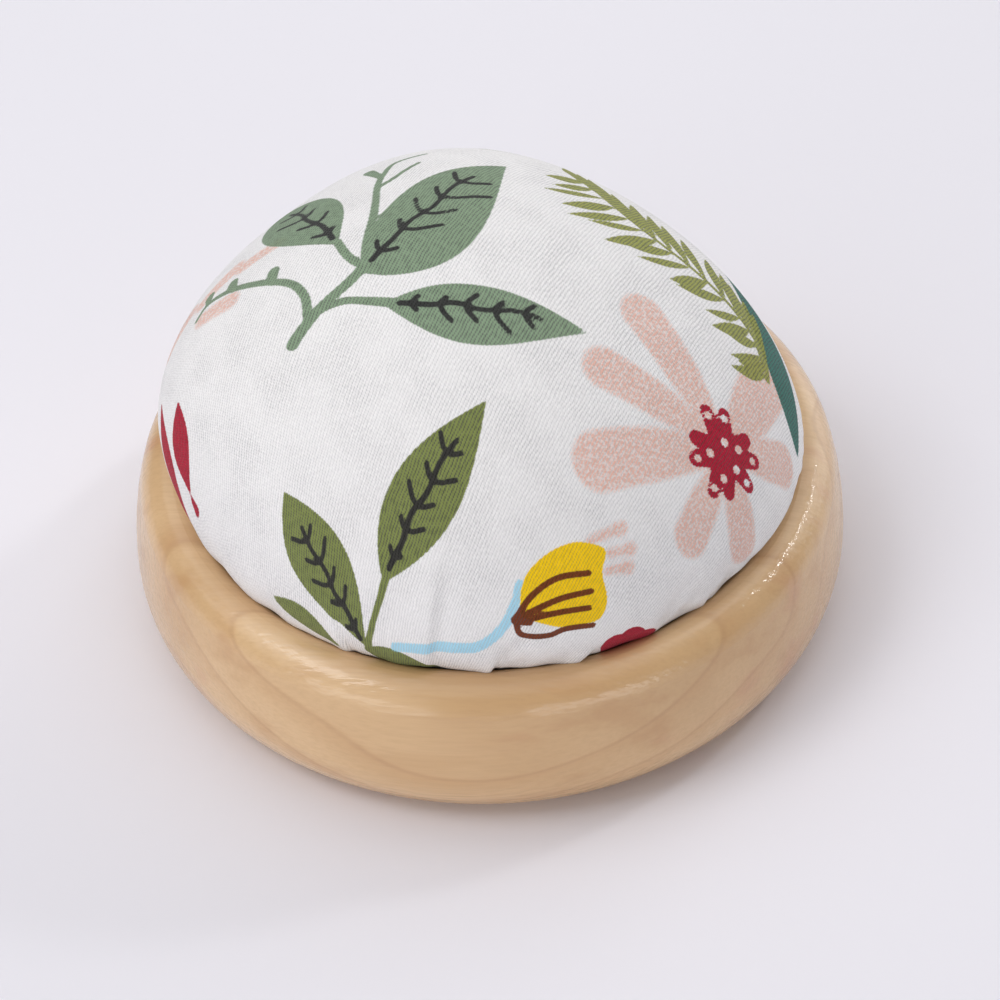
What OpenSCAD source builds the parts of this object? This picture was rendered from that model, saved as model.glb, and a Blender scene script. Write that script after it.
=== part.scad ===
// Round pin cushion: a stuffed cotton dome glued into the recess of a turned wooden dish.
// Millimetres. +Z is up, and the origin is the centre of the flat underside.

/* [Wooden base] */
// Largest diameter of the base, at its belly
base_d = 85; // [83:1:95]
// Height of the base to the top of its rim
base_h = 19.6; // [18:0.2:24]
// Height at which the belly is widest
belly_z = 7.5; // [6:0.5:9]
// Radius of the rounding from the belly down to the foot
belly_r = 9.2; // [9:0.1:12]
// Radius of the circle along the top of the rim
crest_r = 37.4; // [36.5:0.1:38]
// Radius of the rim's outer rounding
crest_outer_r = 4.0; // [3:0.5:4.5]
// Radius of the rim's inner rounding, down to the recess wall
crest_inner_r = 2.8; // [2:0.2:3]
// Height of the floor of the recess above the underside
recess_z = 6.0; // [4:0.5:8]

/* [Cushion] */
// Height of the top of the cushion above the underside of the base
dome_h = 53; // [45:1:58]
// Radius of the cushion where it is widest
dome_r = 37.0; // [36:0.1:37.5]
// Height of the cushion's widest circle above the top of the rim
dome_rise = 4.0; // [3:0.2:6]
// Fullness of the crown: 2 is an ellipse, less is more pointed
dome_n = 1.8; // [1.6:0.05:2.2]
// Thickness of the cotton cover
cover_t = 0.6; // [0.4:0.1:1]
// Room between the cushion and what is next to it
soft_gap = 0.2; // [0.15:0.05:0.3]

/* [Underside of the cushion] */
// Thickness of the glue between the cushion and the recess floor
glue_t = 0.8; // [0.5:0.1:1.2]
// Thickness of the gathered hem where it lies under the disc
hem_t = 1.4; // [1.2:0.1:2]
// Thickness of the card disc inside the cover
disc_t = 1.8; // [1:0.2:3]
// Inner radius of the gathered hem
hem_r = 17; // [12:1:22]
// Diameter of the gathering thread
thread_d = 0.5; // [0.4:0.1:0.6]

/* [Hidden] */

round_fn = 144;
arc_steps = 12;
dome_steps = 26;

// Base outline: foot, flare between belly and rim, and recess
base_r = base_d / 2;
crest_z = base_h - crest_outer_r;
flare_in = base_r - crest_outer_r - crest_r;
flare_up = crest_z - belly_z;
flare_angle = 2 * atan2(flare_in, flare_up);
flare_r = flare_up / sin(flare_angle) + crest_outer_r;
flare_end_z = crest_z + crest_outer_r * sin(flare_angle);
recess_r = crest_r - crest_inner_r;

// Heights of the layers under the filling
hem_z = recess_z + glue_t;
disc_z = hem_z + hem_t + soft_gap;
fill_z = disc_z + disc_t + soft_gap;

// Outside of the cushion: wall in the recess, bottom corner, neck at the rim and widest circle
wall_r = recess_r - soft_gap;
corner_r = 3;
floor_r = wall_r - corner_r;
neck_z = base_h - 2.4;
dome_z = base_h + dome_rise;

// Gathering thread: ring through the hem, its knot and its two short ends
ring_r = hem_r - thread_d;
knot_d = hem_t - 0.1;
knot_turn = 200;
knot_gap = 1;
tail_len = 7;
tail_spread = 24;

// Points of an arc about [x, y], from angle a0 to a1
function arc(x, y, r, a0, a1) =
    [for (i = [0 : arc_steps]) let (a = a0 + (a1 - a0) * i / arc_steps)
        [x + r * cos(a), y + r * sin(a)]];

// Points up the cushion's wall and out to its widest circle, moved inwards by inset
function neck(inset) =
    let (w = wall_r - inset, reach = dome_r - wall_r, rise = dome_z - neck_z)
    [for (i = [0 : arc_steps]) let (u = i / arc_steps)
        [w + reach * (1 - cos(180 * u)) / 2, neck_z + rise * u]];

// Points of the crown from the widest circle to the top, moved inwards by inset
function crown(inset) =
    let (a = dome_r - inset, b = dome_h - inset - dome_z, e = 2 / dome_n)
    [for (i = [1 : dome_steps]) let (t = 90 * i / dome_steps)
        i == dome_steps ? [0, dome_z + b] : [a * pow(cos(t), e), dome_z + b * pow(sin(t), e)]];

// Closed outline of the cushion above the height z, moved inwards by inset
function cushion_outline(z, inset) = concat(
    [[0, z]],
    arc(floor_r, z + corner_r - inset, corner_r - inset, -90, 0),
    neck(inset),
    crown(inset)
);

module turned(points) {
    rotate_extrude($fn = round_fn)
        polygon(points);
}

// Half of the base's cross-section: its outside below the belly, from there to the rim, and the rim
module base_outline() {
    difference() {
        union() {
            square([base_r - belly_r, belly_z]);
            intersection() {
                translate([base_r - belly_r, belly_z])
                    circle(r = belly_r);
                square([base_r, belly_z]);
            }
            intersection() {
                translate([base_r - flare_r, belly_z])
                    circle(r = flare_r);
                translate([0, belly_z])
                    square([base_r, flare_end_z - belly_z]);
            }
            translate([0, flare_end_z])
                square([crest_r, base_h - flare_end_z]);
            intersection() {
                translate([crest_r, crest_z])
                    circle(r = crest_outer_r);
                translate([0, flare_end_z])
                    square([base_r, crest_outer_r]);
            }
        }
        translate([0, recess_z])
            square([recess_r, base_h]);
        difference() {
            translate([0, base_h - crest_inner_r])
                square([crest_r, crest_inner_r + 1]);
            translate([crest_r, base_h - crest_inner_r])
                circle(r = crest_inner_r);
        }
    }
}

// Dish turned from one block: flat foot, full belly, rounded rim and a flat-bottomed recess
module wood_base() {
    color("burlywood")
        rotate_extrude($fn = round_fn)
            base_outline($fn = round_fn);
}

// Spread adhesive that holds the cushion down on the recess floor
module glue_bed() {
    color("oldlace")
        translate([0, 0, recess_z])
            cylinder(h = glue_t, r = floor_r, $fn = round_fn);
}

// Card disc that the cover is drawn around
module backing_disc() {
    color("tan")
        translate([0, 0, disc_z])
            cylinder(h = disc_t, r = floor_r, $fn = round_fn);
}

// Fibre filling, a single soft body
module stuffing() {
    color("white")
        turned(cushion_outline(fill_z, cover_t + soft_gap));
}

// Printed cotton cover: a skin over the filling, turned in under the disc and open at its hem
module cover() {
    color("whitesmoke")
        difference() {
            turned(cushion_outline(hem_z, 0));
            turned(cushion_outline(hem_z + hem_t, cover_t));
            translate([0, 0, hem_z - 1])
                cylinder(h = hem_t + 2, r = hem_r, $fn = round_fn);
        }
}

// Thread that draws the hem together: a ring that ends in a knot, with two short tails
module gathering_thread() {
    color("white")
        translate([0, 0, hem_z + hem_t / 2])
            rotate([0, 0, knot_turn]) {
                rotate([0, 0, knot_gap])
                    rotate_extrude(angle = 360 - 2 * knot_gap, $fn = round_fn)
                        translate([ring_r, 0])
                            circle(d = thread_d, $fn = 32);
                translate([ring_r, 0, 0]) {
                    sphere(d = knot_d, $fn = 24);
                    for (side = [-1, 1])
                        rotate([0, -90, side * tail_spread])
                            cylinder(h = tail_len, d = thread_d, $fn = 32);
                }
            }
}

wood_base();
glue_bed();
backing_disc();
stuffing();
cover();
gathering_thread();
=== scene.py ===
import math
import bpy
import numpy as np
from mathutils import Matrix, Vector


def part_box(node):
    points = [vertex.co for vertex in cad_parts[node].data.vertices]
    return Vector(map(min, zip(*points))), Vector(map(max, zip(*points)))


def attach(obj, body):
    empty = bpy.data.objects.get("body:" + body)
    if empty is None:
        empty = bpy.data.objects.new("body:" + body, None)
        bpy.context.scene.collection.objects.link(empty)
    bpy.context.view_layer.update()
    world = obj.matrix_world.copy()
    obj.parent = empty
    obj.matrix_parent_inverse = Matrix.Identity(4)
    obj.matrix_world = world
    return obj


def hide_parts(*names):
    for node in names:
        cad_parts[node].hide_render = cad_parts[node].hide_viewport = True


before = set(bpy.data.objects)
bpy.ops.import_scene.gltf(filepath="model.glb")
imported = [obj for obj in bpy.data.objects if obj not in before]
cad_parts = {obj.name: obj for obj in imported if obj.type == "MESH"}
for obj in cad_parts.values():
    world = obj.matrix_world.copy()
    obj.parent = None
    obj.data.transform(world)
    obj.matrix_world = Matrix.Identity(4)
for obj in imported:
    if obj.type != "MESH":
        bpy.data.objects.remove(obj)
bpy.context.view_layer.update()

MM = 0.001

# ------------------------ frame: sizes from the CAD, in mm


def extents(node):
    """Lowest and highest corner of a CAD node, in mm."""
    low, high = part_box(node)
    return np.array(low) / MM, np.array(high) / MM


cover_low, cover_high = extents("cover")

RIM_Z = extents("wood_base")[1][2]
DOME_TOP = cover_high[2]
DOME_R = cover_high[0]
HEM_Z = cover_low[2]
FILL_Z = extents("stuffing")[0][2]
# the record doesn't hold these: they repeat part.scad's values
DOME_Z = RIM_Z + 4.0  # height of the cushion's widest circle
DOME_N = 1.8  # fullness of the crown
NECK_Z = RIM_Z - 2.4  # where the cushion enters the recess
WALL_R = 34.4  # cushion's wall in the recess
CORNER_R = 3.0  # rounding at the foot of that wall
HEM_R = 17.0  # opening in the gathered hem
RIM_R = 2.8  # inner rounding of the rim
CREST_R = 37.4  # circle along the top of the rim
# the cloth as it is seen, thinner than the CAD's 0.6 mm
CLOTH_T = 0.45

# ------------------------ camera


def make_camera():
    """The photograph's viewing angle: from the front, about 45 degrees up, slightly rolled."""
    target = Vector((1.3, -4.6, 15.0)) * MM
    elevation, azimuth, roll = (math.radians(a) for a in (44.7, 0.2, 2.4))
    distance = 456 * MM
    forward = Vector((
        math.sin(azimuth) * math.cos(elevation),
        math.cos(azimuth) * math.cos(elevation),
        -math.sin(elevation),
    ))
    side = forward.cross(Vector((0, 0, 1))).normalized()
    up = side.cross(forward)
    right = side * math.cos(roll) - up * math.sin(roll)
    top = side * math.sin(roll) + up * math.cos(roll)
    data = bpy.data.cameras.new("camera")
    data.sensor_width = 36
    data.lens = 138.6
    data.clip_start = 0.01
    data.clip_end = 20
    camera = bpy.data.objects.new("camera", data)
    camera.matrix_world = Matrix.Translation(target - forward * distance) @ Matrix(
        (right, top, -forward)
    ).transposed().to_4x4()
    bpy.context.scene.collection.objects.link(camera)
    bpy.context.scene.camera = camera


make_camera()
bpy.context.scene.view_settings.view_transform = "Standard"

# ------------------------ material graphs


class Graph:
    """A material's node tree, built with one short call per node."""

    def __init__(self, name):
        self.material = bpy.data.materials.new(name)
        self.material.use_nodes = True
        self.tree = self.material.node_tree
        self.shader = self.tree.nodes["Principled BSDF"]

    def put(self, socket, value):
        """Links a socket to another node's output, or sets its value."""
        if isinstance(value, bpy.types.NodeSocket):
            self.tree.links.new(value, socket)
        elif isinstance(value, (tuple, list)) and socket.type == "RGBA" and len(value) == 3:
            socket.default_value = (*value, 1)
        else:
            socket.default_value = value

    def node(self, kind, props=(), **inputs):
        n = self.tree.nodes.new(kind)
        for key, value in dict(props).items():
            setattr(n, key, value)
        for key, value in inputs.items():
            self.put(n.inputs[key.replace("_", " ")], value)
        return n

    def math(self, operation, a, b=0.0):
        n = self.node("ShaderNodeMath", {"operation": operation})
        for socket, value in zip(n.inputs, (a, b)):
            self.put(socket, value)
        return n.outputs[0]

    def vector(self, operation, a, b):
        n = self.node("ShaderNodeVectorMath", {"operation": operation})
        self.put(n.inputs[0], a)
        if operation == "SCALE":
            self.put(n.inputs["Scale"], b)
        else:
            self.put(n.inputs[1], b)
        return n.outputs["Vector"]

    def split(self, vector):
        return self.node("ShaderNodeSeparateXYZ", Vector=vector).outputs

    def join(self, x, y, z):
        return self.node("ShaderNodeCombineXYZ", X=x, Y=y, Z=z).outputs[0]

    def mix(self, factor, a, b):
        n = self.node("ShaderNodeMix", {"data_type": "RGBA"})
        self.put(n.inputs[0], factor)
        self.put(n.inputs[6], a)
        self.put(n.inputs[7], b)
        return n.outputs[2]

    def noise(self, vector, scale, detail=2.0, roughness=0.5):
        return self.node(
            "ShaderNodeTexNoise", Vector=vector, Scale=scale, Detail=detail, Roughness=roughness
        ).outputs["Fac"]

    def between(self, value, low, high, out_low=0.0, out_high=1.0, smooth=True):
        kind = "SMOOTHSTEP" if smooth else "LINEAR"
        n = self.node("ShaderNodeMapRange", {"interpolation_type": kind})
        for socket, v in zip(n.inputs, (value, low, high, out_low, out_high)):
            self.put(socket, v)
        return n.outputs[0]

    def bump(self, height, distance, strength):
        n = self.node("ShaderNodeBump", Height=height, Distance=distance, Strength=strength)
        return n.outputs[0]

    def millimetres(self):
        """Places on the object itself, in mm."""
        coordinate = self.node("ShaderNodeTexCoord").outputs["Object"]
        return self.vector("SCALE", coordinate, 1 / MM)

    def attribute(self, name, output="Fac"):
        return self.node("ShaderNodeAttribute", {"attribute_name": name}).outputs[output]

    def surface(self, **inputs):
        for key, value in inputs.items():
            self.put(self.shader.inputs[key.replace("_", " ")], value)


def srgb(r, g, b):
    """A colour seen as 0 to 255 sRGB, as linear light."""
    return tuple(
        (c / 255 / 12.92) if c <= 10 else ((c / 255 + 0.055) / 1.055) ** 2.4 for c in (r, g, b)
    )


def paint(obj, material):
    obj.data.materials.clear()
    obj.data.materials.append(material)


# ------------------------ wood


def wood_material():
    """Pale close-grained wood under a satin lacquer, its grain running across the front."""
    g = Graph("lacquered_wood")
    pith_depth, pith_behind, ring_width, ring_sway = 46.0, 14.0, 6.5, 26.0
    turned = g.node(
        "ShaderNodeVectorRotate", {"rotation_type": "EULER_XYZ"}, Vector=g.millimetres())
    turned.inputs["Rotation"].default_value = (0.05, 0.04, 0.16)
    p = turned.outputs[0]
    across, up = g.split(p)[1:3]
    # growth rings about a pith line below and behind the blank
    wander = g.noise(g.vector("MULTIPLY", p, (0.010, 0.035, 0.035)), 1.0, 1, 0.4)
    sway = g.math("MULTIPLY", g.math("SUBTRACT", wander, 0.5), ring_sway)
    depth = g.math("ADD", up, pith_depth)
    side = g.math("SUBTRACT", across, pith_behind)
    radius = g.math("SQRT", g.math("ADD", g.math("POWER", depth, 2.0), g.math("POWER", side, 2.0)))
    ring = g.math("FRACT", g.math("DIVIDE", g.math("ADD", radius, sway), ring_width))
    late = g.math("MULTIPLY", g.between(ring, 0.45, 0.93), g.between(ring, 0.94, 1.0, 1.0, 0.0))
    # ring edges, fibres and reddish streaks, all long in the grain's direction
    fibre = g.noise(g.vector("MULTIPLY", p, (0.09, 2.6, 2.6)), 1.0, 5, 0.6)
    streak = g.noise(g.vector("MULTIPLY", p, (0.018, 0.26, 0.26)), 1.0, 3, 0.5)
    edge = g.math("MULTIPLY", g.between(ring, 0.86, 0.92), g.between(ring, 0.93, 0.97, 1.0, 0.0))
    warm = g.noise(g.vector("MULTIPLY", p, (0.022, 0.14, 0.14)), 1.0, 2, 0.5)
    blotch = g.noise(g.vector("MULTIPLY", p, (0.03, 0.06, 0.06)), 1.0, 2, 0.5)
    colour = g.mix(g.between(blotch, 0.3, 0.7), srgb(220, 184, 138), srgb(206, 168, 122))
    colour = g.mix(g.math("MULTIPLY", late, 0.40), colour, srgb(198, 154, 108))
    colour = g.mix(g.math("MULTIPLY", g.between(streak, 0.5, 0.75), 0.40), colour, srgb(184, 134, 86))
    colour = g.mix(g.math("MULTIPLY", g.between(warm, 0.56, 0.72), 0.45), colour, srgb(196, 138, 104))
    colour = g.mix(g.math("MULTIPLY", g.between(fibre, 0.35, 0.75), 0.28), colour, srgb(190, 150, 108))
    colour = g.mix(g.math("MULTIPLY", edge, 0.15), colour, srgb(158, 112, 76))
    rough = g.between(fibre, 0.2, 0.8, 0.36, 0.5)
    g.surface(
        Base_Color=colour,
        Roughness=rough,
        Specular_IOR_Level=0.4,
        Coat_Weight=0.8,
        Coat_Roughness=0.12,
        Normal=g.bump(fibre, 0.00004, 0.5),
    )
    # the lacquer follows the fibres a little, which breaks a highlight into streaks
    ripple = g.noise(g.vector("MULTIPLY", p, (0.12, 1.6, 1.6)), 1.0, 2, 0.5)
    g.put(g.shader.inputs["Coat Normal"], g.bump(ripple, 0.00015, 0.9))
    return g.material


# ------------------------ print: shapes on the flat cloth
# In mm: x runs to the right and y away from the viewer, from the cloth's point at the dome's top.
# The plants' main points follow the photographed print; the side away from the viewer is made up.

FAR = 1.6  # distances beyond this aren't worked out
FINEST = 0.6  # narrowest stroke that the cover's mesh can hold


def segment_gap(points, a, b):
    """Squared distance of each point from the line a to b, and how far along that is, 0 to 1."""
    edge = b - a
    rel = points - a
    t = np.clip(rel @ edge / max(edge @ edge, 1e-12), 0, 1)
    return ((rel - t[:, None] * edge) ** 2).sum(1), t


def polygon_distance(points, outline):
    """Distance from each point to a closed outline, below zero inside it."""
    nearest = np.full(len(points), 1e9)
    inside = np.zeros(len(points), bool)
    for a, b in zip(outline, np.roll(outline, -1, axis=0)):
        nearest = np.minimum(nearest, segment_gap(points, a, b)[0])
        crosses = (a[1] > points[:, 1]) != (b[1] > points[:, 1])
        if crosses.any():
            x = a[0] + (points[:, 1] - a[1]) / (b[1] - a[1] + 1e-12) * (b[0] - a[0])
            inside ^= crosses & (points[:, 0] < x)
    distance = np.sqrt(nearest)
    return np.where(inside, -distance, distance)


def stroke_distance(points, path, widths):
    """Distance from each point to a brush stroke along path, whose width changes along it."""
    path = np.asarray(path, float)
    lengths = np.hypot(*np.diff(path, axis=0).T)
    places = np.concatenate([[0], np.cumsum(lengths)])
    places /= places[-1]
    half = np.interp(places, np.linspace(0, 1, len(widths)), widths) / 2
    nearest = np.full(len(points), 1e9)
    for a, b, ha, hb in zip(path[:-1], path[1:], half[:-1], half[1:]):
        gap, t = segment_gap(points, a, b)
        nearest = np.minimum(nearest, np.sqrt(gap) - (ha + (hb - ha) * t))
    return nearest


def smooth_path(points, steps=8):
    """A smooth curve through a few points (Catmull-Rom)."""
    p = np.asarray(points, float)
    p = np.vstack([2 * p[0] - p[1], p, 2 * p[-1] - p[-2]])
    out = []
    for k in range(1, len(p) - 2):
        for t in np.linspace(0, 1, steps, endpoint=False):
            out.append(0.5 * (
                2 * p[k]
                + (p[k + 1] - p[k - 1]) * t
                + (2 * p[k - 1] - 5 * p[k] + 4 * p[k + 1] - p[k + 2]) * t * t
                + (3 * p[k] - p[k - 1] - 3 * p[k + 1] + p[k + 2]) * t ** 3
            ))
    out.append(p[-2])
    return np.array(out)


class Print:
    """For each ink, the distance from every point of the cloth to the nearest printed shape."""

    def __init__(self, points):
        self.points = points
        self.fields = {ink: np.full(len(points), FAR) for ink in INKS}

    def add(self, ink, shape, reach, distance):
        """Adds a shape to an ink; distance gives how far points near it are from it."""
        low, high = shape.min(0) - reach, shape.max(0) + reach
        at = np.flatnonzero(((self.points >= low) & (self.points <= high)).all(1))
        if len(at):
            field = self.fields[ink]
            field[at] = np.minimum(field[at], distance(self.points[at]))

    def fill(self, ink, outline):
        outline = np.asarray(outline, float)
        self.add(ink, outline, FAR, lambda points: polygon_distance(points, outline))

    def stroke(self, ink, path, widths):
        path = smooth_path(path)
        widths = np.maximum(widths, FINEST)
        self.add(ink, path, FAR + max(widths), lambda points: stroke_distance(points, path, widths))

    def clear(self, ink, centre, radius):
        """A round spot without ink."""
        d = radius - np.hypot(*(self.points - centre).T)
        self.fields[ink] = np.maximum(self.fields[ink], d)


def leaf_outline(base, tip, left, right, bend, fullest, steps=40):
    """A pointed leaf: half widths on either side, how far its midrib bows, where it is fullest."""
    base, tip = np.array(base, float), np.array(tip, float)
    axis = tip - base
    length = np.hypot(*axis)
    axis /= length
    normal = np.array([-axis[1], axis[0]])
    t = np.linspace(0, 1, steps)
    mid = base + axis * (t * length)[:, None] + normal * (bend * np.sin(np.pi * t))[:, None]
    sides = []
    places = fullest if isinstance(fullest, tuple) else (fullest, fullest)
    for room, place in zip((left, -right), places):
        width = np.sin(np.pi * t ** (math.log(0.5) / math.log(place))).clip(0)
        sides.append(mid + normal * (room * width)[:, None])
    return np.vstack([sides[0], sides[1][::-1][1:-1]]), mid


def leaf(cloth, ink, base, tip, left, right, bend=0.0, veins=4, vein_w=0.7, fullest=0.42):
    """A leaf with a dark midrib and short side veins, drawn with a loose brush."""
    outline, mid = leaf_outline(base, tip, left, right, bend, fullest)
    cloth.fill(ink, outline)
    if not veins:
        return
    n = len(mid) - 1
    axis = (mid[-1] - mid[0]) / np.hypot(*(mid[-1] - mid[0]))
    normal = np.array([-axis[1], axis[0]])
    first, last = 0.1, 0.78  # how much of the leaf's length the midrib runs along
    knots = []
    for k in range(veins + 2):
        u = first + (last - first) * k / (veins + 1)
        sway = 0.25 * (-1) ** k * (0 < k < veins + 1)
        knots.append(mid[int(n * u)] + normal * sway)
    cloth.stroke("vein", knots, (vein_w * 1.35, vein_w * 1.15, vein_w * 0.95))
    for k in range(veins + 1):
        start = knots[k] * 0.6 + knots[k + 1] * 0.4
        u = first + (last - first) * (k + 0.4) / (veins + 1)
        for side, room in ((1, left), (-1, right)):
            long = 1.0 if (k + (side > 0)) % 2 else 0.72
            size = max(room * math.sin(math.pi * min(u, 0.9)) * 0.55, 1.0) * long
            end = start + normal * side * size + axis * size * 0.75
            middle = (start * 0.55 + end * 0.45) + axis * size * -0.14
            cloth.stroke("vein", (start, middle, end), (vein_w, vein_w * 0.9, vein_w * 0.8))


def toward(angle):
    """The direction at an angle in degrees, as x and y."""
    a = math.radians(angle)
    return np.array([math.cos(a), math.sin(a)])


def daisy(cloth, centre, petals):
    """A flower with rounded petals and a ragged crimson heart with light dots."""
    centre = np.array(centre, float)
    for angle, length, width in petals:
        way = toward(angle)
        start = centre + way * 3.0
        end = centre + way * (length - width / 2)
        middle = start * 0.5 + end * 0.5
        cloth.stroke("petal", (start, middle, end), (width * 0.5, width * 0.88, width))
    for k in range(9):
        way = toward(40 * k + 18 - 9 * (k % 2))
        reach = (6.1, 5.4, 5.8)[k % 3]
        tooth = (centre, centre + way * 3.4, centre + way * (reach - 0.9))
        cloth.stroke("crimson", tooth, (4.0, 2.6, 1.9))
        if k % 3 != 1:
            cloth.clear("crimson", centre + way * (reach - 1.3), 0.55)
    for angle, reach in ((100, 1.5), (200, 2.4), (335, 2.3), (40, 2.6), (275, 3.0)):
        cloth.clear("crimson", centre + toward(angle) * reach, 0.6)


def sage_sprig(cloth):
    """A forked stem with three broad leaves, a curled tendril with buds and a thin upright shoot."""
    stem = ((-22.6, -11.4), (-21.2, -10), (-18.6, -7.8), (-15, -5.4), (-12.4, -3.2))
    cloth.stroke("sage", stem, (1.6, 1.3, 1.3))
    leaf(cloth, "sage", (-13.2, -4.4), (3.8, 16.8), 5.4, 8.2, 0, 4, 0.54, (0.5, 0.33))
    cloth.stroke("sage", ((-13.1, -3.2), (-14.6, -1.2), (-16, 1.8)), (1.1, 1.0))
    leaf(cloth, "sage", (-15.8, 1.2), (-27.6, 22.4), 5.8, 4.6, 0, 3, 0.56, 0.52)
    fork = ((-19.8, -8.8), (-18.4, -8), (-15.6, -7.8), (-12.6, -8.8), (-9.4, -9.9))
    cloth.stroke("sage", fork, (1.1, 1.0, 1.4))
    leaf(cloth, "sage", (-11.2, -9.6), (12.2, -12.4), 2.9, 4.7, 0, 4, 0.54, 0.45)
    curl = ((-20.2, -8.8), (-20.2, -5.2), (-22.2, -2.2), (-27.5, 0.8), (-32, 2.8),
            (-35.2, 3.4), (-37, 2))
    cloth.stroke("sage", curl, (1.2, 1.0, 0.9, 0.5))
    for bud, foot in (
        ((-24.2, 0.9), (-24.2, -1)), ((-30.6, 3.6), (-30.2, 2)), ((-34.9, 5), (-34.9, 3.6)),
    ):
        cloth.stroke("sage", (bud, foot), (1.7, 0.9))
    shoot = ((-12.6, -3), (-12.2, 3.5), (-12.2, 9), (-12, 14), (-11, 18.2), (-9.6, 21.4), (-5.8, 23))
    cloth.stroke("sage", shoot, (1.1, 1.0, 0.9, 0.5))
    cloth.stroke("sage", ((-12.2, 13.2), (-10.2, 14.6), (-8.2, 16.8), (-6.6, 18.6)), (0.8, 0.55))
    cloth.stroke("sage", ((-11.6, 16.6), (-13.4, 20.6)), (0.9, 1.6))


def fern(cloth):
    """A frond: a curved rib with slender leaflets close together on both sides."""
    rib = smooth_path(((13.2, 22), (15.7, 16.9), (18.6, 12.2), (22, 8.6), (26.2, 6.2), (31.4, 3.4),
                       (35.2, 0.4), (37.2, -2.6), (37.4, -6)), 10)
    cloth.stroke("fern", rib[::8], (0.4, 0.7, 0.9))
    count = 17
    for k in range(count):
        u = k / (count - 1)
        i = int((0.05 + 0.93 * u) * (len(rib) - 1))
        small = min(1.0, 0.6 + 2.4 * u)
        lower = (
            207 + 7 * math.sin(2.3 * k) + 4 * u,
            (10.4 - 3.0 * u - 1.2 * (k % 2)) * small,
            2.1 - 0.4 * (k % 3),
        )
        upper = (110 - 20 * u + 3 * math.sin(1.7 * k), (12.0 - 3.0 * u) * small, 2.0 - 0.2 * (k % 2))
        for angle, size, width in (lower, upper):
            tip = rib[i] + toward(angle) * size
            outline, _ = leaf_outline(rib[i], tip, width / 2, width / 2, 0.5, 0.5, 18)
            cloth.fill("fern", outline)


def placer(origin, turn):
    """A function that places x and y about origin, turned by an angle in degrees."""
    c, s = math.cos(math.radians(turn)), math.sin(math.radians(turn))
    return lambda x, y: (origin[0] + x * c - y * s, origin[1] + x * s + y * c)


def olive_sprig(cloth, origin=(-21.2, -49.8), turn=0.0):
    """Leaves on thin stalks from one point at the rim."""
    at = placer(origin, turn)
    cloth.stroke("olive", (at(0, 0), at(2.4, 2.8), at(4.6, 5.6), at(6.6, 8.6)), (1.1, 0.9, 1.1))
    leaf(cloth, "olive", at(6.1, 8.0), at(21.4, 27.7), 4.2, 4.4, 0.2, 4, 0.60, (0.42, 0.46))
    leaf(cloth, "olive", at(0.2, 0.2), at(-6.4, 21.2), 4.8, 4.6, 0, 4, 0.60, (0.6, 0.5))
    leaf(cloth, "olive", at(-4.5, 1.3), at(-14.6, 11.4), 0.9, 1.5, 0, 0, 0.5, 0.5)
    leaf(cloth, "olive", at(-0.4, 0.0), at(12.8, -6.6), 2.2, 2.2, 0, 0, 0.5, 0.4)


def yellow_bud(cloth, origin=(2.9, -46.8), turn=0.0):
    """A fan of petals with brown lines, short stamens and a pale blue stalk."""
    at = placer(origin, turn)
    edge = ((0.8, 0.4), (0.9, 3.6), (2.0, 6.0), (4.5, 8.2), (7.4, 9.6), (9.8, 9.9), (12.2, 9.4),
            (12.0, 6.8), (13.2, 3.8), (12.8, 1.4), (10.8, 0.2), (7, -0.6), (3.6, -0.2), (0.8, 0.4))
    cloth.fill("yellow", smooth_path([at(x, y) for x, y in edge])[:-1])
    for line in (
        ((0.2, 0.2), (2.4, 3.1), (5.8, 5.4), (10.2, 6.5)),
        ((0.6, 0.2), (5.9, 2.8), (10.8, 4.4)),
        ((0.8, -0.1), (6, 1.2), (10.8, 2.3)),
        ((0.1, 0.1), (1.0, -1.9), (4.9, -1.9), (7.5, -0.8), (11.8, 0.1)),
    ):
        cloth.stroke("brown", [at(x, y) for x, y in line], (0.9, 0.75, 0.72))
    cloth.stroke("brown", (at(0.1, 0), at(2.2, -0.2)), (1.3, 0.9))
    for x, y, dx, dy in ((10, 10.2, 4.2, 2.2), (12.8, 9.2, 3.0, 1.1), (12.7, 7.1, 3.1, 1.0)):
        cloth.stroke("petal", (at(x, y), at(x + dx, y + dy)), (0.8, 0.9))
        cloth.stroke("petal", (at(x + dx * 0.85, y + dy * 0.85), at(x + dx, y + dy)), (1.3, 1.3))
    stalk = ((0.7, 4.3), (0.3, 2.6), (-0.9, 0), (-2.2, -1.6), (-3.6, -2.8), (-5.8, -3.8), (-8.4, -3.9),
             (-12, -3.7), (-15.4, -3.4), (-18.8, -3))
    cloth.stroke("sky", [at(x, y) for x, y in stalk], (1.2, 1.3, 1.4, 1.1))


def crimson_bloom(cloth, centre, start, count=6, reach=15, step=28):
    """A flower with feathered petals, most of it under the rim."""
    centre = np.array(centre, float)
    for k in range(count):
        way = toward(start + step * k)
        normal = np.array([-way[1], way[0]])
        tip = centre + way * reach
        cloth.stroke("crimson", (centre, (centre + tip) / 2, tip - way), (1.6, 3.6, 2.0))
        for j, short in ((-1, 2.2), (1, 3.6)):
            side = centre + way * (reach - short) + normal * j * 1.5
            cloth.stroke("crimson", ((centre + side) / 2, side), (2.2, 1.7))


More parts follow.
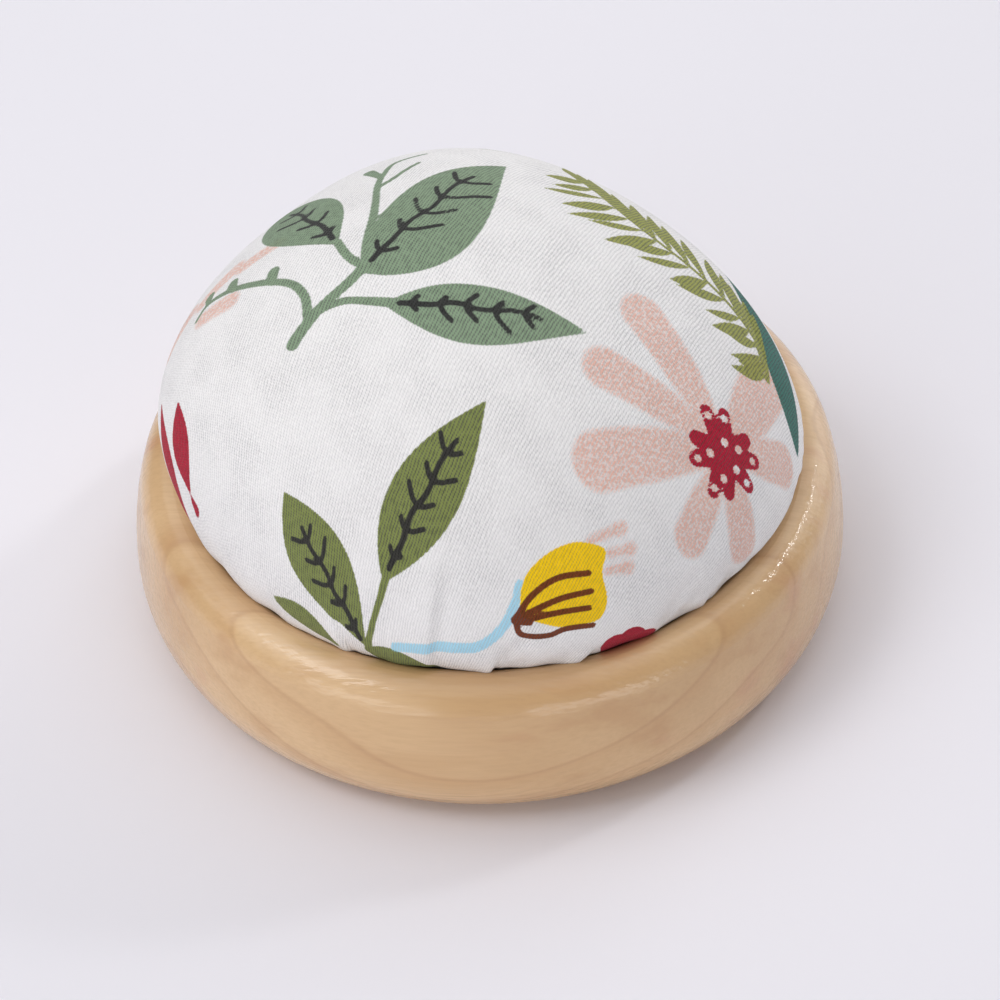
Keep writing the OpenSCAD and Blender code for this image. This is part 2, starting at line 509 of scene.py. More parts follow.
def draw_print(points):
    cloth = Print(points)
    petals = (
        (131, 20.6, 5.4), (164, 19.6, 5.0), (201, 21.4, 6.8), (254, 14.6, 5.0),
        (304, 13.5, 5.6), (24, 15.0, 5.6), (66, 19.0, 7.4),
    )
    daisy(cloth, (30.6, -21.0), petals)
    fern(cloth)
    leaf(cloth, "teal", (45.6, -12), (34.6, 16), 4.2, 3.4, 0, 0, 0.6, (0.42, 0.5))
    sage_sprig(cloth)
    olive_sprig(cloth)
    yellow_bud(cloth)
    # the edge of a crimson flower at the left, and of another at the front
    leaf(cloth, "crimson", (-49.5, -20), (-46.4, -3.6), 2.0, 1.6, 0, 0)
    leaf(cloth, "crimson", (-45.0, -20.6), (-41.4, -8.2), 2.4, 2.0, 0, 0, 0.6, 0.55)
    cloth.stroke("crimson", ((-45.0, -20.8), (-44.9, -22.6)), (0.6, 1.2))
    for x, y in ((19.8, -50.4), (22.4, -48.8), (25.4, -49.2), (28.4, -50.8)):
        cloth.stroke("crimson", ((24, -58), (x, y)), (4.0, 5.0))
    # tips of a pale flower over the left edge
    for start, end, width in (
        ((-24.8, 7.4), (-29.6, 6.2), 2.4), ((-31, 7.4), (-36.6, 5.4), 2.8),
        ((-30.6, 0.2), (-35.8, 1.2), 2.6), ((-39.4, 6.6), (-44.6, 4.2), 3.0),
    ):
        cloth.stroke("petal", (start, end), (width, width * 0.85))
    # the side away from the viewer, which the photograph doesn't show, has more of the same kinds
    olive_sprig(cloth, (30, 46), 160)
    yellow_bud(cloth, (-9, 41), 158)
    crimson_bloom(cloth, (50, 27), 150)
    leaf(cloth, "sage", (-27, 36), (-38, 45), 4, 4, 0, 3, 0.66, 0.45)
    far_petals = ((60, 13), (100, 13), (140, 13), (180, 13), (225, 12), (20, 12))
    daisy(cloth, (-44, 22), [(angle, length, 4.2) for angle, length in far_petals])
    return cloth.fields


# ------------------------ cushion: shape of the cover


TOUCH_Z = RIM_Z - 0.45  # where the cloth comes up to the rim
RIM_GAP = 0.12
CROWN_POINTS, NECK_POINTS, CORNER_POINTS = 1200, 160, 30


def rim_inside(z):
    """Radius of the rim's inner rounding at height z, less a small gap."""
    rise = np.clip((z - (RIM_Z - RIM_R)) / RIM_R, 0, 1)
    return CREST_R - RIM_R * np.sqrt(1 - rise ** 2) - RIM_GAP


def profile_table(inset=0.0):
    """The cushion's outline from the top of the dome to the hem's edge: arc length, radius, height."""
    a = DOME_R - inset
    b = DOME_TOP - inset - DOME_Z
    t = np.linspace(np.pi / 2, 0, CROWN_POINTS)
    crown = np.stack([
        a * np.cos(t).clip(0) ** (2 / DOME_N),
        DOME_Z + b * np.sin(t).clip(0) ** (2 / DOME_N),
    ], 1)
    # below the widest circle the cloth comes in to the rim's rounding, and then follows it down
    z = np.linspace(DOME_Z, NECK_Z, NECK_POINTS)[1:]
    free = DOME_R - (DOME_R - rim_inside(TOUCH_Z)) * ((DOME_Z - z) / (DOME_Z - TOUCH_Z)) ** 2
    pressed = rim_inside(np.minimum(z, TOUCH_Z))
    neck = np.stack([np.where(z > TOUCH_Z, free, pressed) - inset, z], 1)
    turn = np.linspace(0, -np.pi / 2, CORNER_POINTS)
    floor_r = WALL_R - CORNER_R
    corner = np.stack([
        floor_r + (CORNER_R - inset) * np.cos(turn),
        HEM_Z + CORNER_R + (CORNER_R - inset) * np.sin(turn),
    ], 1)
    hem = np.array([[HEM_R, HEM_Z + inset]])
    line = np.vstack([crown, neck, corner, hem])
    length = np.concatenate([[0], np.cumsum(np.hypot(*np.diff(line, axis=0).T))])
    return length, line[:, 0], line[:, 1]


LENGTH, RADIUS, HEIGHT = profile_table()
TO_NECK = slice(CROWN_POINTS + NECK_POINTS - 1)  # the part of the outline above the recess
# arc lengths from the top of the dome: to the rim's lip, and to the hem's edge
LIP_S = float(np.interp(-NECK_Z, -HEIGHT[TO_NECK], LENGTH[TO_NECK]))
EDGE_S = float(LENGTH[-1])


def wave(phi, parts):
    """A curve that repeats round the cushion: parts are (count, size, phase in degrees)."""
    return sum(size * np.cos(count * phi + math.radians(phase)) for count, size, phase in parts)


def ramp(x, low, high):
    t = np.clip((x - low) / (high - low), 0, 1)
    return t * t * (3 - 2 * t)


# tucks at the rim: x and y on the flat cloth at each end, height and width, in mm
TUCKS = (
    ((0.4, -51.5), (-1.8, -57.0), 0.45, 1.1),
    ((17.0, -49.5), (12.6, -55.4), 0.7, 1.1),
    ((-6.0, -37.0), (-10.5, -50.0), 0.45, 2.2),
    ((-25.0, -41.5), (-26.0, -49.5), 0.4, 1.5),
    ((33.0, -38.0), (36.5, -42.5), 0.3, 1.6),
)


def tuck_lift(x, y):
    """How far the small folds at the rim stand up, where the cloth was drawn together."""
    lift = np.zeros_like(x)
    for (ax, ay), (bx, by), height, width in TUCKS:
        edge = np.array([bx - ax, by - ay])
        size = np.hypot(*edge)
        way = edge / size
        along = ((x - ax) * way[0] + (y - ay) * way[1]) / size
        off = (-(x - ax) * way[1] + (y - ay) * way[0]) / width
        ridge = np.where(off > 0, np.exp(-(off / 0.45) ** 2), np.exp(-(off / 1.5) ** 2))
        groove = np.exp(-((off - 0.9) / 0.5) ** 2)
        lift += height * ramp(along, 0, 0.75) * ramp(along, 1.5, 1.15) * (ridge - 0.3 * groove)
    return lift


# the cushion's left side is high, and it isn't quite round: both fitted to the photo's outline
TILT = -0.092
LUMPS = ((2, 0.007, 81), (3, 0.017, 102), (4, 0.020, -6), (5, 0.006, -178))
# small gathers above the lip, and pleats below it, where the hem is drawn together
GATHERS = ((23, 0.10, 0), (31, 0.08, 70), (47, 0.05, 20))
PLEATS, PLEAT_DEPTH = 34, 0.55


# what the cloth simulation adds along the normal, in mm: rows down from the top, columns round
RELIEF_ROWS, RELIEF_COLUMNS = 44, 160
RELIEF_CAP = 0.8
relief = np.zeros((RELIEF_ROWS, RELIEF_COLUMNS))


def relief_at(s, phi):
    """The relief between the simulated points, by cubic curves both ways."""
    def weights(t):
        return (
            ((-t + 2) * t - 1) * t / 2, ((3 * t - 5) * t * t + 2) / 2,
            ((-3 * t + 4) * t + 1) * t / 2, (t - 1) * t * t / 2,
        )
    row = np.clip(s / LIP_S, 0, 1) * (RELIEF_ROWS - 1)
    column = (phi / (2 * math.pi) % 1) * RELIEF_COLUMNS
    i, j = np.floor(row).astype(int), np.floor(column).astype(int)
    total = np.zeros(np.shape(row))
    for di, wi in zip((-1, 0, 1, 2), weights(row - i)):
        for dj, wj in zip((-1, 0, 1, 2), weights(column - j)):
            near = np.clip(i + di, 0, RELIEF_ROWS - 1), (j + dj) % RELIEF_COLUMNS
            total += wi * wj * relief[near]
    return total * ramp(s, 2, 8)


def cushion(s, phi, inset=0.0, detail=True):
    """Points of the cushion's skin at arc length s from the top and azimuth phi, in mm."""
    length, radius, height = (LENGTH, RADIUS, HEIGHT) if inset == 0 else profile_table(inset)
    s = s * length[-1] / EDGE_S
    r = np.interp(s, length, radius)
    z = np.interp(s, length, height)
    dr = np.interp(s + 0.1, length, radius) - np.interp(s - 0.1, length, radius)
    dz = np.interp(s + 0.1, length, height) - np.interp(s - 0.1, length, height)
    size = np.hypot(dr, dz) + 1e-9
    nr, nz = -dz / size, dr / size
    crown = ramp(z, RIM_Z - 0.6, RIM_Z + 6.5)
    off = relief_at(s, phi) * (s < LIP_S)
    if detail:
        off = off + wave(phi, GATHERS) * ramp(s, LIP_S - 12, LIP_S - 1) * (s < LIP_S + 3)
        off = off + tuck_lift(s * np.cos(phi), s * np.sin(phi)) * (s < LIP_S + 3)
        below = ramp(s, LIP_S + 0.5, LIP_S + 6)
        pleat = (1 - np.cos(PLEATS * phi + 0.8 * np.sin(5 * phi))) / 2
        off = off - PLEAT_DEPTH * below * pleat
    r = r * (1 + crown * wave(phi, LUMPS)) + off * nr
    x, y = r * np.cos(phi), r * np.sin(phi)
    return np.stack([x, y, z + off * nz + TILT * x * crown], -1)


# ------------------------ cloth simulation


def simulate_relief():
    """Inflates the cover's skin, held at the rim with spare cloth there, and keeps its wrinkles."""
    scale = 10  # the simulation runs on a larger copy, where its solver is steady
    rows, columns, frames = RELIEF_ROWS, RELIEF_COLUMNS, 24
    spare_all_over, spare_at_rim = 0.012, 0.11
    s = np.linspace(0, LIP_S, rows)
    phi = np.arange(columns) * 2 * math.pi / columns
    s_grid, phi_grid = (a.ravel() for a in np.meshgrid(s, phi, indexing="ij"))
    start = cushion(s_grid, phi_grid, 0.0, False)
    index = np.arange(rows * columns).reshape(rows, columns)
    around = np.roll(index, -1, axis=1)
    faces = np.stack([index[1:-1], index[2:], around[2:], around[1:-1]], -1).reshape(-1, 4).tolist()
    top = start[:columns].mean(0)
    points = np.vstack([top, start[columns:]])
    faces = [[i - columns + 1 for i in face] for face in faces]
    faces += [[0, k + 1, (k + 1) % columns + 1] for k in range(columns)]
    mesh = bpy.data.meshes.new("cloth_trial")
    mesh.from_pydata((points * MM * scale).tolist(), [], faces)
    mesh.update()
    trial = bpy.data.objects.new("cloth_trial", mesh)
    bpy.context.scene.collection.objects.link(trial)
    # the rest shape has spare cloth round the rim, where the real cover is drawn together
    spare = 1 + spare_at_rim * ramp(s_grid, 0.55 * LIP_S, LIP_S) + spare_all_over
    wide = start * np.stack([spare, spare, np.ones_like(spare)], 1)
    trial.shape_key_add(name="Basis")
    rest = trial.shape_key_add(name="cut")
    rest.data.foreach_set("co", (np.vstack([top, wide[columns:]]) * MM * scale).ravel())
    rest.value = 0.0
    pinned = trial.vertex_groups.new(name="held")
    held = np.concatenate([[0.0], ramp(s_grid[columns:], LIP_S - 5, LIP_S - 2)])
    for k in np.flatnonzero(held > 0):
        pinned.add([int(k)], float(held[k]), "REPLACE")
    cloth = trial.modifiers.new("cloth", "CLOTH")
    cloth.settings.quality = 8
    cloth.settings.mass = 0.3
    cloth.settings.tension_stiffness = 30
    cloth.settings.compression_stiffness = 30
    cloth.settings.shear_stiffness = 8
    cloth.settings.bending_stiffness = 0.25
    cloth.settings.use_pressure = True
    cloth.settings.uniform_pressure_force = 4
    cloth.settings.effector_weights.gravity = 0
    cloth.settings.vertex_group_mass = "held"
    cloth.settings.rest_shape_key = rest
    cloth.collision_settings.use_collision = False
    cloth.point_cache.frame_start, cloth.point_cache.frame_end = 1, frames
    scene = bpy.context.scene
    for frame_number in range(1, frames + 1):
        scene.frame_set(frame_number)
    settled = trial.evaluated_get(bpy.context.evaluated_depsgraph_get()).to_mesh()
    moved = np.empty(len(points) * 3)
    settled.vertices.foreach_get("co", moved)
    moved = moved.reshape(-1, 3) / MM / scale - points
    scene.frame_set(1)
    bpy.data.objects.remove(trial)
    # only what isn't the same all the way round is kept, so the cushion keeps its profile
    e = 0.05
    ahead, back, lower, upper = (
        cushion(s_grid + ds, phi_grid + dphi, 0.0, False)
        for ds, dphi in ((0, e), (0, -e), (e, 0), (-e, 0)))
    across, down = ahead - back, lower - upper
    normal = np.cross(down, across)
    normal /= np.linalg.norm(normal, axis=1)[:, None] + 1e-9
    lift = np.zeros((rows, columns))
    lift[1:] = (moved[1:] * normal[columns:]).sum(1).reshape(rows - 1, columns)
    lift -= lift.mean(axis=1)[:, None]
    return RELIEF_CAP * np.tanh(lift / RELIEF_CAP)


relief = simulate_relief()


# ------------------------ meshes


FINE_GRID = 272  # squares across the cover's outside; an STL may hold 200,000 triangles
HIDDEN_ROWS = 22  # rows of faces on the cover below the lip


def disc_grid(n):
    """An n by n grid spread evenly over the unit disc: radius and azimuth of its points."""
    a = np.linspace(-1, 1, n + 1)
    x, y = np.meshgrid(a, a)
    wide = np.abs(x) > np.abs(y)
    r = np.where(wide, x, y)
    safe = np.where(r == 0, 1, r)
    phi = np.where(wide, math.pi / 4 * y / safe, math.pi / 2 - math.pi / 4 * x / safe)
    return np.abs(r), np.where(r < 0, phi + math.pi, phi)


def grid_ring(n):
    """Indices of the grid's outer points, once round from azimuth -135 degrees."""
    i = np.arange(n)
    index = np.arange((n + 1) ** 2).reshape(n + 1, n + 1)
    return np.concatenate([index[0, i], index[i, n], index[n, n - i], index[n - i, 0]])


def new_mesh(name, points, faces, smooth=True):
    mesh = bpy.data.meshes.new(name)
    mesh.from_pydata((points * MM).tolist(), [], faces)
    mesh.validate()
    mesh.update()
    obj = bpy.data.objects.new(name, mesh)
    bpy.context.scene.collection.objects.link(obj)
    if smooth:
        mesh.polygons.foreach_set("use_smooth", [True] * len(mesh.polygons))
    return obj


def flat_place(s, phi):
    """Where a point of the cover lies on the flat cloth: x and y."""
    return np.stack([s * np.cos(phi), s * np.sin(phi)], 1)


class Skin:
    """Collects the points and faces of one closed skin."""

    def __init__(self):
        self.points = []
        self.faces = []
        self.flat = []
        self.count = 0

    def add(self, points, flat):
        self.points.append(points)
        if flat is not None:
            self.flat.append(flat)
        first = self.count
        self.count += len(points)
        return np.arange(first, self.count)

    def quads(self, a, b):
        """Faces between two rings with the same number of points."""
        a2, b2 = np.roll(a, -1), np.roll(b, -1)
        self.faces += np.stack([a, b, b2, a2], 1).tolist()

    def coarsen(self, a, b):
        """Faces between a ring and one with a quarter of its points."""
        n = len(b)
        for k in range(n):
            fine = [a[(4 * k + j) % len(a)] for j in range(5)]
            near, far = b[k], b[(k + 1) % n]
            self.faces += [
                [fine[0], near, fine[1]], [fine[1], near, fine[2]], [fine[2], near, far],
                [fine[2], far, fine[3]], [fine[3], far, fine[4]],
            ]

    def grid(self, points, flat, n):
        """An n by n grid of faces; gives back its outer ring's points, and where they are in it."""
        ids = self.add(points, flat)
        g = ids.reshape(n + 1, n + 1)
        quads = np.stack([g[:-1, :-1], g[:-1, 1:], g[1:, 1:], g[1:, :-1]], -1).reshape(-1, 4)
        self.faces += quads.tolist()
        ring = grid_ring(n)
        return ids[ring], ring

    def crown(self, n, shape):
        """The dome down to the rim, as a grid; gives back its outer ring and that ring's azimuths."""
        r, phi = disc_grid(n)
        s = (r * LIP_S).ravel()
        phi = phi.ravel()
        ids, ring = self.grid(shape(s, phi), flat_place(s, phi), n)
        return ids, phi[ring]

    def rows(self, ring, phi, places, shape):
        """More rings below, one for each arc length in places."""
        for s in places:
            ids = self.add(shape(np.full(len(phi), s), phi), flat_place(s, phi))
            self.quads(ring, ids)
            ring = ids
        return ring


def even_phi(n):
    """n azimuths once round, from -135 degrees, in step with the grid's ring."""
    return -3 * math.pi / 4 + np.arange(n) * 2 * math.pi / n


def build_cover():
    """The cover as a thin closed skin: outside down to the hem, round its edge, back up inside."""
    def inside(s, phi):
        return cushion(s, phi, CLOTH_T)

    skin = Skin()
    ring, _ = skin.crown(FINE_GRID, cushion)
    hidden = even_phi(FINE_GRID)
    places = np.linspace(LIP_S, EDGE_S, HIDDEN_ROWS + 1)[1:]
    first = skin.add(
        cushion(np.full(FINE_GRID, places[0]), hidden), flat_place(places[0], hidden))
    skin.coarsen(ring, first)
    outer = skin.rows(first, hidden, places[1:], cushion)
    start = len(skin.faces)
    inner_ring, _ = skin.crown(FINE_GRID // 4, inside)
    inner = skin.rows(inner_ring, hidden, places, inside)
    skin.faces[start:] = [f[::-1] for f in skin.faces[start:]]
    skin.quads(outer, inner)
    obj = new_mesh("printed_cover", np.vstack(skin.points), skin.faces)
    return obj, np.vstack(skin.flat)


def store(obj, name, values, kind="FLOAT"):
    layer = obj.data.attributes.new(name, kind, "POINT")
    field = "vector" if kind == "FLOAT_VECTOR" else "value"
    layer.data.foreach_set(field, np.ravel(values).astype(np.float32))


# tone, cover, how much the hollows stay bare, edge roughness in mm, and the darkest and lightest tone
# of the shade and highlight painted along the threads
INKS = {
    "petal": (srgb(218, 164, 144), 0.90, 0.55, 0.6, 0.80, 1.15),
    "teal": (srgb(18, 88, 78), 0.97, 0.04, 0.22, 0.40, 1.50),
    "fern": (srgb(132, 136, 58), 0.96, 0.06, 0.16, 0.36, 1.35),
    "sage": (srgb(116, 138, 110), 0.96, 0.06, 0.16, 0.40, 1.28),
    "olive": (srgb(108, 118, 54), 0.97, 0.05, 0.14, 0.34, 1.35),
    "sky": (srgb(150, 212, 236), 0.85, 0.30, 0.22, 0.85, 1.08),
    "yellow": (srgb(246, 202, 4), 1.0, 0.04, 0.14, 0.74, 1.10),
    "crimson": (srgb(164, 4, 42), 1.0, 0.05, 0.14, 0.50, 1.25),
    "brown": (srgb(104, 48, 22), 1.0, 0.05, 0.08, 0.50, 1.40),
    "vein": (srgb(40, 38, 40), 0.97, 0.05, 0.10, 0.50, 1.60),
}


def cloth_material():
    """White cotton twill with the print's inks on it, and shade painted into the hollows between its
    threads.
    """
    g = Graph("printed_twill")
    flat = g.attribute("cloth", "Vector")
    x, y = g.split(flat)[:2]
    x = g.math("ADD", x, g.math("MULTIPLY", g.noise(flat, 0.45, 2), 0.5))
    y = g.math("ADD", y, g.math("MULTIPLY", g.noise(flat, 0.40, 2), 0.6))
    # two over, one under: each warp thread steps a third of the float from its neighbour
    warp_pitch, weft_pitch = 0.155, 0.285
    warp_index = g.math("FLOOR", g.math("DIVIDE", x, warp_pitch))
    in_warp = g.math("SUBTRACT", g.math("FRACT", g.math("DIVIDE", x, warp_pitch)), 0.5)
    weft = g.math("DIVIDE", y, weft_pitch)
    step = g.math("DIVIDE", g.math("SUBTRACT", weft, warp_index), 3.0)
    along = g.math("ABSOLUTE", g.math("SUBTRACT", g.math("FRACT", step), 0.5))
    float_up = g.between(along, 0.20, 0.46, 1.0, 0.0)
    round_warp = g.math("SUBTRACT", 1.0, g.math("MULTIPLY", g.math("POWER", in_warp, 2.0), 1.4))
    # threads vary in thickness, and the surface is a little hairy
    slub = g.noise(g.vector("MULTIPLY", g.join(x, y, 0.0), (4.0, 0.5, 1.0)), 1.0, 2)
    grain = g.noise(flat, 2.6, 1, 0.4)
    fuzz = g.noise(flat, 6.5, 3, 0.7)
    patch = g.noise(flat, 0.16, 2)
    height = g.math("MULTIPLY", float_up, round_warp)
    coarse = g.between(grain, 0.3, 0.7, 0.0, 1.0, False)
    height = g.math("ADD", height, g.math("MULTIPLY", coarse, 0.45))
    height = g.math("ADD", height, g.math("MULTIPLY", slub, 0.20))
    height = g.math("ADD", height, g.math("MULTIPLY", fuzz, 0.40))
    weave = g.between(height, 0.25, 1.65, 0.0, 1.0, False)
    # how deep the painted shade in the hollows is varies in soft patches
    shade_patchiness = g.between(patch, 0.35, 0.7, 0.62, 1.0)
    painted_hollow_shade = g.math("MULTIPLY", g.math("SUBTRACT", 1.0, weave), shade_patchiness)

    # painted shade: the hollows between the threads are coloured darker grey, more in some patches
    # than in others
    colour = g.mix(painted_hollow_shade, srgb(249, 247, 247), srgb(198, 196, 198))
    hollow = g.math("SUBTRACT", 0.5, weave)
    mottle = g.noise(flat, 1.3, 2, 0.6)
    speckle = g.noise(flat, 2.2, 2, 0.6)
    uneven = g.between(mottle, 0.3, 0.7, 0.0, 0.5, False)
    # the ink's tone: random mottle, and painted shade that is darker in the hollows between threads
    # and lighter on the raised threads
    mottle_and_hollow_shade = g.math("ADD", g.math("MULTIPLY", grain, 0.5), uneven)
    mottle_and_hollow_shade = g.between(g.math("SUBTRACT", mottle_and_hollow_shade, weave), -0.25, 0.30, 0.0, 1.0, False)
    for ink, (tone, cover, bare, rough, dark, light) in INKS.items():
        ragged = g.math("ADD", g.math("MULTIPLY", hollow, rough),
                        g.math("MULTIPLY", g.math("SUBTRACT", fuzz, 0.5), rough * 1.5))
        field = g.math("ADD", g.attribute("ink_" + ink), ragged)
        soft = 0.07 if ink != "petal" else 0.4
        mask = g.between(field, -soft, soft, cover, 0.0)
        # ink misses the hollows between threads, and is thicker on some of them
        risen = g.math("ADD", weave, g.math("MULTIPLY", fuzz, 0.5))
        taken = g.between(risen, 0.5, 1.05, 1 - bare, 1.0)
        lightest, darkest = tuple(min(1.0, c * light) for c in tone), tuple(c * dark for c in tone)
        # painted shade and highlight: each ink runs from its lightest tone on raised threads to its
        # darkest in the hollows
        ink_with_painted_shade = g.mix(mottle_and_hollow_shade, lightest, darkest)
        if ink == "petal":  # printed as a fine speckle
            taken = g.math("MULTIPLY", taken, g.between(speckle, 0.40, 0.56, 0.42, 1.0))
        colour = g.mix(g.math("MULTIPLY", mask, taken), colour, ink_with_painted_shade)
    g.surface(
        Base_Color=colour,
        Roughness=0.9,
        Specular_IOR_Level=0.2,
        Sheen_Weight=0.08,
        Sheen_Roughness=0.5,
        Normal=g.bump(height, 0.00007, 0.75),
    )
    return g.material


def make_cover():
    obj, flat = build_cover()
    store(obj, "cloth", np.column_stack([flat, np.zeros(len(flat))]), "FLOAT_VECTOR")
    for ink, field in draw_print(flat).items():
        store(obj, "ink_" + ink, field)
    paint(obj, cloth_material())
    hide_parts("cover")
    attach(obj, "root")


# ------------------------ filling, thread, glue and board


def make_stuffing():
    """A lumpy body of packed fibre that fills the cover, flat where it lies on the board."""
    inset = CLOTH_T + 0.3
    n = 64

    def level(r, phi, z):
        return np.stack([r * np.cos(phi), r * np.sin(phi), np.full(len(phi), z)], 1)

    def lumpy(s, phi):
        points = cushion(s, phi, inset, False)
        x, y, z = points.T
        lumps = np.sin(0.55 * x + 1.3 * np.sin(0.21 * y)) * np.sin(0.49 * y + 1.1 * np.sin(0.25 * z))
        sink = 0.22 * (1 + lumps)
        return points - np.stack([x / DOME_R, y / DOME_R, (z - NECK_Z) / DOME_R], 1) * sink[:, None]

    skin = Skin()
    ring, phi = skin.crown(n, lumpy)
    wall = WALL_R - inset
    turn = np.linspace(0, np.pi / 2, 7)
    outline = [(wall, z) for z in np.linspace(NECK_Z - 1.2, FILL_Z + 2, 6)]
    outline += [(wall - 2 * (1 - math.cos(t)), FILL_Z + 2 * (1 - math.sin(t))) for t in turn[1:]]
    for r, z in outline:
        ids = skin.add(level(r, phi, z), None)
        skin.quads(ring, ids)
        ring = ids
    r, a = disc_grid(n)
    r = r.ravel() * (outline[-1][0] - 0.9)
    start = len(skin.faces)
    inner_ring, _ = skin.grid(level(r, a.ravel(), FILL_Z), None, n)
    skin.faces[start:] = [face[::-1] for face in skin.faces[start:]]
    skin.quads(ring, inner_ring)
    obj = new_mesh("fibre_filling", np.vstack(skin.points), skin.faces)
    g = Graph("polyester_fibre")
    p = g.millimetres()
    swirl = g.node("ShaderNodeTexNoise", Vector=p, Scale=0.25, Detail=2.0).outputs["Color"]
    strands = g.noise(g.vector("ADD", p, g.vector("SCALE", swirl, 6.0)), 1.6, 5, 0.7)
    g.surface(
        Base_Color=g.mix(g.between(strands, 0.3, 0.7), srgb(222, 222, 218), srgb(250, 250, 248)),
        Roughness=0.95,
        Sheen_Weight=0.3,
        Normal=g.bump(strands, 0.0006, 0.9),
    )
    paint(obj, g.material)
    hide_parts("stuffing")
    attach(obj, "root")


def across_path(path, up):
    """Two directions at right angles to a path, at each of its points."""
    ahead = np.gradient(path, axis=0)
    ahead /= np.linalg.norm(ahead, axis=1)[:, None]
    side = np.cross(ahead, up)
    side /= np.linalg.norm(side, axis=1)[:, None]
    return side, np.cross(ahead, side)


def tube(path, radius, sides=6):
    """Points and faces of a capped tube along an open path."""
    side, other = across_path(path, (0.13, 0.21, 0.97))
    a = np.linspace(0, 2 * np.pi, sides, endpoint=False)
    rings = path[:, None] + radius * (
        np.cos(a)[None, :, None] * side[:, None] + np.sin(a)[None, :, None] * other[:, None])
    points = rings.reshape(-1, 3)
    faces = []
    for k in range(len(path) - 1):
        for j in range(sides):
            a0, a1 = k * sides + j, k * sides + (j + 1) % sides
            faces.append([a0, a1, a1 + sides, a0 + sides])
    faces.append(list(range(sides))[::-1])
    faces.append([len(points) - sides + j for j in range(sides)])
    return points, faces


def two_ply(path, radius=0.22, pitch=1.1):
    """Two strands twisted round a path."""
    side, other = across_path(path, (0, 0, 1))
    run = np.concatenate([[0], np.cumsum(np.linalg.norm(np.diff(path, axis=0), axis=1))])
    for half in (0, np.pi):
        a = 2 * np.pi * run / pitch + half
        strand = path + radius * 0.5 * (np.cos(a)[:, None] * side + np.sin(a)[:, None] * other)
        yield tube(strand, radius * 0.52)


def make_thread():
    """The thread at the hem's edge: a running stitch, its knot and two short ends."""
    middle = HEM_Z + 0.7
    ring_r = HEM_R - 0.5
    knot_turn, tail_spread, tail_length = math.radians(200), math.radians(24), 7.0
    a = np.linspace(knot_turn + 0.03, knot_turn + 2 * np.pi - 0.03, 900)
    wander = ring_r + 0.12 * np.cos(9 * a)
    ring = np.stack([
        wander * np.cos(a),
        wander * np.sin(a),
        middle + 0.26 * np.sin(PLEATS * a),
    ], 1)
    knot = np.array([math.cos(knot_turn), math.sin(knot_turn), 0]) * ring_r + (0, 0, middle)
    t = np.linspace(0, 2 * np.pi, 90)
    trefoil = np.stack(
        [np.sin(t) + 2 * np.sin(2 * t), np.cos(t) - 2 * np.cos(2 * t), -np.sin(3 * t)], 1)
    parts = list(two_ply(ring))
    parts.append(tube(knot + trefoil[:-1] * (0.17, 0.17, 0.3), 0.2))
    for side in (-1, 1):
        way = knot_turn + np.pi + side * tail_spread
        u = np.linspace(0, 1, 60)
        bow = 0.5 * side * np.sin(np.pi * u)
        tail = np.stack([
            knot[0] + tail_length * u * math.cos(way) - bow * math.sin(way),
            knot[1] + tail_length * u * math.sin(way) + bow * math.cos(way),
            np.full(60, middle),
        ], 1)
        parts += list(two_ply(tail))
    points, faces, count = [], [], 0
    for p, f in parts:
        faces += [[i + count for i in face] for face in f]
        points.append(p)
        count += len(p)
    obj = new_mesh("running_stitch", np.vstack(points), faces)
    g = Graph("cotton_thread")
    p = g.millimetres()
    lint = g.noise(p, 7.0, 3, 0.6)
    g.surface(
        Base_Color=g.mix(lint, srgb(226, 222, 214), srgb(250, 248, 243)),
        Roughness=0.8,
        Sheen_Weight=0.2,
        Normal=g.bump(lint, 0.00005, 0.7),
    )
    paint(obj, g.material)
    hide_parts("gathering_thread")
    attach(obj, "root")


def glue_material():
    """Dried contact glue: dull, yellowed and uneven."""
    g = Graph("dried_glue")
    p = g.millimetres()
    smear = g.noise(g.vector("MULTIPLY", p, (0.35, 1.2, 0.5)), 0.6, 4, 0.6)
    g.surface(
        Base_Color=g.mix(g.between(smear, 0.3, 0.7), srgb(231, 221, 190), srgb(208, 190, 146)),
        Roughness=g.between(smear, 0.3, 0.7, 0.35, 0.6),
        Normal=g.bump(smear, 0.0003, 0.8),
    )
    return g.material


def board_material():
    """Grey pasteboard with flecks of paper fibre."""
    g = Graph("grey_board")
    p = g.millimetres()
    pulp = g.noise(p, 2.2, 5, 0.7)
    fleck = g.between(g.noise(g.vector("MULTIPLY", p, (1.0, 2.4, 1.0)), 3.1, 2), 0.64, 0.70)
    colour = g.mix(g.between(pulp, 0.3, 0.7), srgb(176, 166, 150), srgb(196, 188, 172))
    g.surface(
        Base_Color=g.mix(g.math("MULTIPLY", fleck, 0.6), colour, srgb(120, 108, 96)),
        Roughness=0.85,
        Normal=g.bump(pulp, 0.00008, 0.7),
    )
    return g.material


# ------------------------ light and floor


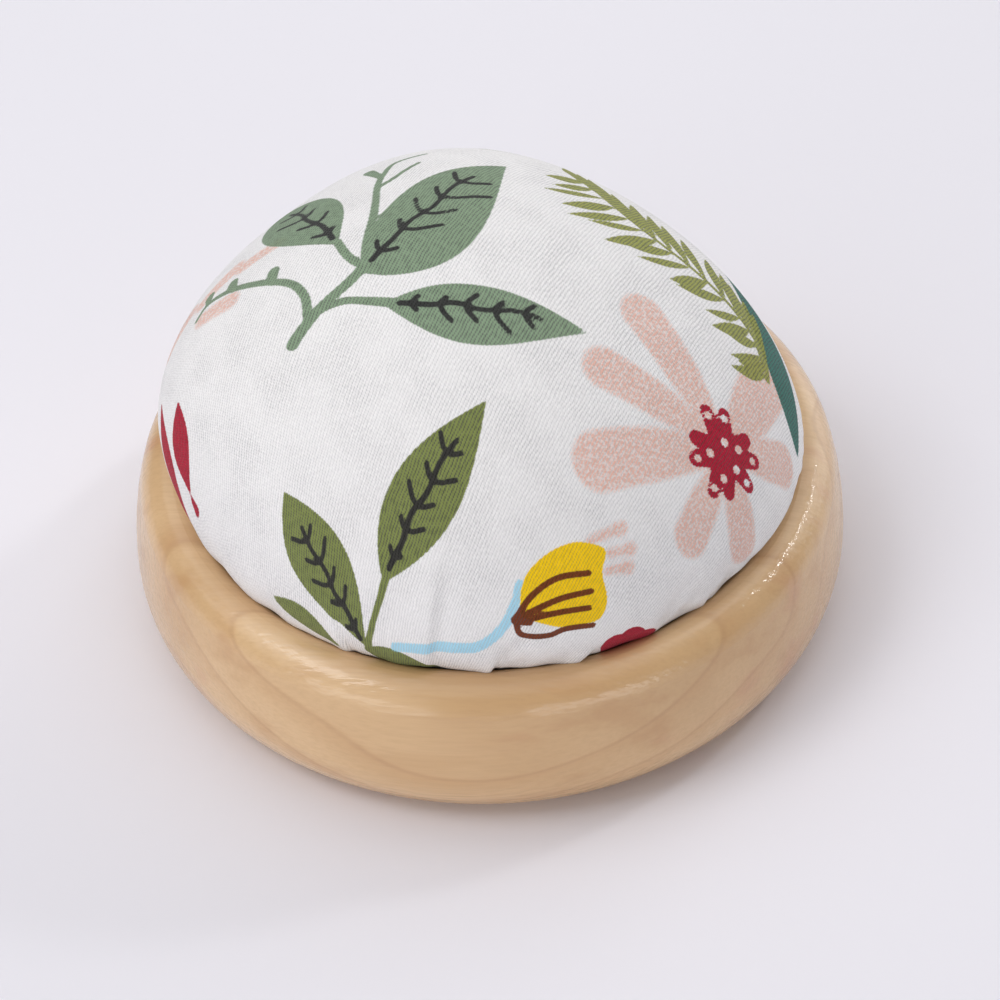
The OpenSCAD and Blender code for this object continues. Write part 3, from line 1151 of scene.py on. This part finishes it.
def make_floor():
    g = Graph("paper_sweep")
    p = g.millimetres()
    tone = g.mix(g.noise(p, 0.004, 2), srgb(236, 234, 241), srgb(232, 230, 237))
    g.surface(
        Base_Color=tone,
        Roughness=0.6,
        Specular_IOR_Level=0.3,
        Normal=g.bump(g.noise(p, 1.5, 3), 0.00002, 0.4),
    )
    size = 3000
    corners = np.array([(-size, -size, 0), (size, -size, 0), (size, size, 0), (-size, size, 0)], float)
    floor = new_mesh("floor", corners, [(0, 1, 2, 3)], smooth=False)
    paint(floor, g.material)


def area_light(name, azimuth, elevation, distance, size, power):
    """A soft light aimed at the object; azimuth 0 is +X and 90 is +Y; distance and size in m."""
    a, e = math.radians(azimuth), math.radians(elevation)
    place = Vector((math.cos(a) * math.cos(e), math.sin(a) * math.cos(e), math.sin(e))) * distance
    data = bpy.data.lights.new(name, "AREA")
    data.shape = "RECTANGLE"
    data.size, data.size_y = size
    data.energy = power
    light = bpy.data.objects.new(name, data)
    light.location = place + Vector((0, 0, 0.02))
    light.rotation_euler = (-place).to_track_quat("-Z", "Y").to_euler()
    bpy.context.scene.collection.objects.link(light)


def make_light():
    world = bpy.data.worlds.new("studio")
    world.use_nodes = True
    background = world.node_tree.nodes["Background"]
    background.inputs["Color"].default_value = (0.97, 0.97, 1.0, 1)
    background.inputs["Strength"].default_value = 0.15
    bpy.context.scene.world = world
    # name, azimuth, elevation, distance, size, watts
    for name, azimuth, elevation, distance, size, power in (
        ("overhead", 0, 90, 1.0, (1.0, 1.0), 2.2),
        ("behind", 92, 58, 1.0, (1.2, 0.9), 3.2),
        ("left", 180, 50, 1.0, (0.7, 0.7), 1.7),
        ("skylight", 196, 56, 1.0, (0.44, 0.32), 1.9),
        ("window", 222, 34, 1.0, (0.8, 0.5), 1.0),
        ("low_window", 232, 9, 1.0, (0.7, 0.3), 1.9),
        ("fill", 298, 8, 1.0, (0.7, 0.3), 1.8),
        ("right", 44, 14, 1.0, (0.7, 0.7), 2.7),
        ("lamp", 31, 39, 1.2, (0.11, 0.12), 1.6),
    ):
        area_light(name, azimuth, elevation, distance, size, power)


paint(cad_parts["wood_base"], wood_material())
paint(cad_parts["glue_bed"], glue_material())
paint(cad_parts["backing_disc"], board_material())
make_cover()
make_stuffing()
make_thread()
make_floor()
make_light()
